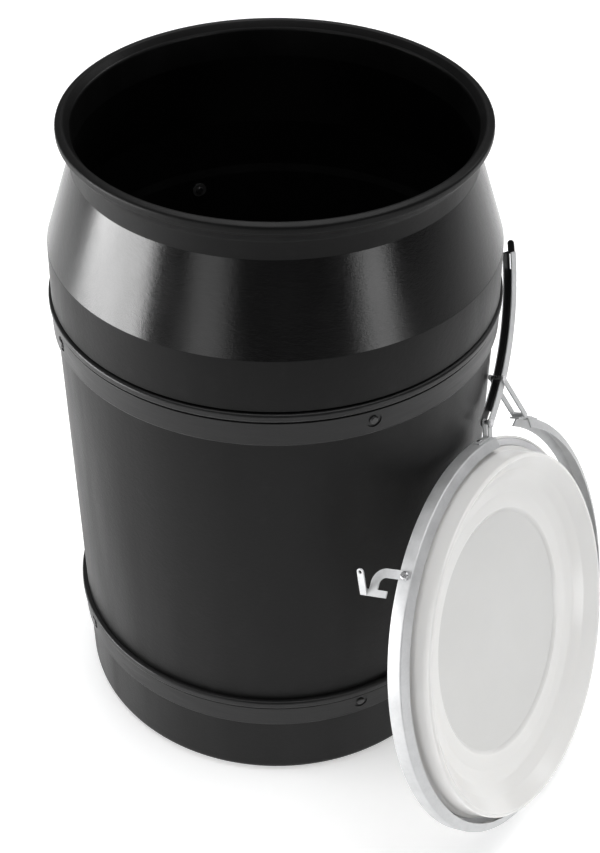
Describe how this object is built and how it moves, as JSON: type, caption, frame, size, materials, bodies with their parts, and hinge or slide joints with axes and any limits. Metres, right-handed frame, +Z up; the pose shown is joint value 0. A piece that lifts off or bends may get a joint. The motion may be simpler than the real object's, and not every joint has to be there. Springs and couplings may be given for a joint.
{
  "type": "bear canister",
  "caption": "Wide-mouth moulded food drum with riveted hoops, a loose plug lid and a lever-lock clamp ring with a safety catch.",
  "frame": {"origin": "centre of the drum's foot, on the surface it stands on", "axes": "+Z up along the drum's axis, -Y the front"},
  "size_m": [0.5398, 0.5457, 0.6234],
  "materials": {
    "drum_plastic": "semi-matt moulded black",
    "hoop_plastic": "semi-matt black",
    "rivet_black": "black painted",
    "washer_steel": "plain",
    "lid_plastic": "natural, slightly translucent",
    "gasket_rubber": "soft",
    "galvanised": "galvanised",
    "rivet_steel": "zinc plated"
  },
  "bodies": {
    "drum": {"barrel_shell": "drum_plastic", "upper_hoop": "hoop_plastic", "lower_hoop": "hoop_plastic", "upper_hoop_rivets": "rivet_black", "lower_hoop_rivets": "rivet_black", "upper_rivet_washers": "washer_steel", "lower_rivet_washers": "washer_steel"},
    "lid_and_ring": {"lid": "lid_plastic", "lid_gasket": "gasket_rubber", "clamp_ring_left": "galvanised", "fulcrum_bracket": "galvanised", "fulcrum_bracket_rivet": "rivet_steel", "fulcrum_pin": "rivet_steel", "catch_rivet": "rivet_steel"},
    "ring_right": {"clamp_ring_right": "galvanised", "link_bracket": "galvanised", "link_bracket_rivets": "rivet_steel"},
    "lever": {"lever": "galvanised", "link_pin": "rivet_steel"},
    "link": {"link": "galvanised"},
    "safety_catch": {"safety_catch": "galvanised"}
  },
  "joints": [
    {"name": "lid_lift", "type": "slide", "parent": "drum", "child": "lid_and_ring", "axis": [0.8017, -0.499, 0.3289], "range_m": [0, 0.41]},
    {"name": "lever_swing", "type": "hinge", "parent": "lid_and_ring", "child": "lever", "pos_m": [0.19003, -0.08751, 0.35539], "axis": [0.8017, -0.499, 0.3289], "range_deg": [0, 136]},
    {"name": "ring_spring", "type": "hinge", "parent": "lid_and_ring", "child": "ring_right", "pos_m": [0.26832, -0.19297, 0.00447], "axis": [0.8017, -0.499, 0.3289], "range_deg": [0, 7.52]},
    {"name": "link_swing", "type": "hinge", "parent": "lever", "child": "link", "pos_m": [0.20096, -0.05368, 0.38007], "axis": [0.8017, -0.499, 0.3289], "range_deg": [-90.62, 0]},
    {"name": "catch_turn", "type": "hinge", "parent": "lid_and_ring", "child": "safety_catch", "pos_m": [0.10649, -0.2456, 0.31915], "axis": [0.5388, 0.3653, -0.7591], "range_deg": [0, 75]}
  ],
  "couplings": [
    {"joint": "ring_spring", "follows": "lever_swing", "ratio": 0.055147},
    {"joint": "link_swing", "follows": "lever_swing", "ratio": -0.66616},
    {"joint": "lid_lift", "follows": "lever_swing", "m_per_rad": 0.16852}
  ]
}
